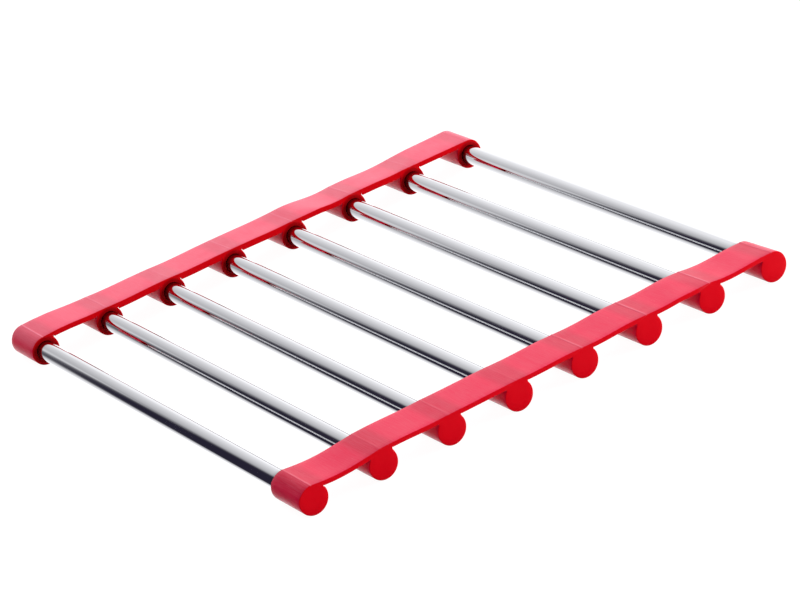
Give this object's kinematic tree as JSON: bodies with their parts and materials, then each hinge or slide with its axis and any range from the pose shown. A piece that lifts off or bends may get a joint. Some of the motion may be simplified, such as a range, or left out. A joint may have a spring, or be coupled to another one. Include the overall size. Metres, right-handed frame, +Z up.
{
  "type": "roll-up trivet",
  "caption": "Flat trivet of parallel steel rods held at both ends in silicone rails whose straps bend, so that it rolls up",
  "frame": {"origin": "on the table under the middle of the trivet", "axes": "+X along the rails from rod 1 to rod 8, +Y along the rods from the front rail to the back rail, +Z up"},
  "size_m": [0.2, 0.202, 0.011],
  "materials": {
    "polished_steel": "bright drawn stainless tube, near mirror, with fine lines along it",
    "red_silicone": "satin moulded silicone with a faint brushed grain across the strap"
  },
  "bodies": {
    "station_1": {"rod_1": "polished_steel", "front_socket_1": "red_silicone", "back_socket_1": "red_silicone", "front_web_1": "red_silicone", "back_web_1": "red_silicone"},
    "station_2": {"rod_2": "polished_steel", "front_socket_2": "red_silicone", "back_socket_2": "red_silicone", "front_web_2": "red_silicone", "back_web_2": "red_silicone"},
    "station_3": {"rod_3": "polished_steel", "front_socket_3": "red_silicone", "back_socket_3": "red_silicone", "front_web_3": "red_silicone", "back_web_3": "red_silicone"},
    "station_4": {"rod_4": "polished_steel", "front_socket_4": "red_silicone", "back_socket_4": "red_silicone", "front_web_4": "red_silicone", "back_web_4": "red_silicone"},
    "station_5": {"rod_5": "polished_steel", "front_socket_5": "red_silicone", "back_socket_5": "red_silicone", "front_web_5": "red_silicone", "back_web_5": "red_silicone"},
    "station_6": {"rod_6": "polished_steel", "front_socket_6": "red_silicone", "back_socket_6": "red_silicone", "front_web_6": "red_silicone", "back_web_6": "red_silicone"},
    "station_7": {"rod_7": "polished_steel", "front_socket_7": "red_silicone", "back_socket_7": "red_silicone", "front_web_7": "red_silicone", "back_web_7": "red_silicone"},
    "station_8": {"rod_8": "polished_steel", "front_socket_8": "red_silicone", "back_socket_8": "red_silicone"}
  },
  "joints": [
    {"name": "strap_bend_1", "type": "hinge", "parent": "station_1", "child": "station_2", "pos_m": [-0.081, 0, 0.01025], "axis": [0, -1, 0], "range_deg": [-45, 45], "stiffness_Nm_per_rad": 0.0015, "deforming": ["front_web_1", "back_web_1"]},
    {"name": "strap_bend_2", "type": "hinge", "parent": "station_2", "child": "station_3", "pos_m": [-0.054, 0, 0.01025], "axis": [0, -1, 0], "range_deg": [-45, 45], "stiffness_Nm_per_rad": 0.0015, "deforming": ["front_web_2", "back_web_2"]},
    {"name": "strap_bend_3", "type": "hinge", "parent": "station_3", "child": "station_4", "pos_m": [-0.027, 0, 0.01025], "axis": [0, -1, 0], "range_deg": [-45, 45], "stiffness_Nm_per_rad": 0.0015, "deforming": ["front_web_3", "back_web_3"]},
    {"name": "strap_bend_4", "type": "hinge", "parent": "station_4", "child": "station_5", "pos_m": [0, 0, 0.01025], "axis": [0, -1, 0], "range_deg": [-45, 45], "stiffness_Nm_per_rad": 0.0015, "deforming": ["front_web_4", "back_web_4"]},
    {"name": "strap_bend_5", "type": "hinge", "parent": "station_5", "child": "station_6", "pos_m": [0.027, 0, 0.01025], "axis": [0, -1, 0], "range_deg": [-45, 45], "stiffness_Nm_per_rad": 0.0015, "deforming": ["front_web_5", "back_web_5"]},
    {"name": "strap_bend_6", "type": "hinge", "parent": "station_6", "child": "station_7", "pos_m": [0.054, 0, 0.01025], "axis": [0, -1, 0], "range_deg": [-45, 45], "stiffness_Nm_per_rad": 0.0015, "deforming": ["front_web_6", "back_web_6"]},
    {"name": "strap_bend_7", "type": "hinge", "parent": "station_7", "child": "station_8", "pos_m": [0.081, 0, 0.01025], "axis": [0, -1, 0], "range_deg": [-45, 45], "stiffness_Nm_per_rad": 0.0015, "deforming": ["front_web_7", "back_web_7"]}
  ]
}
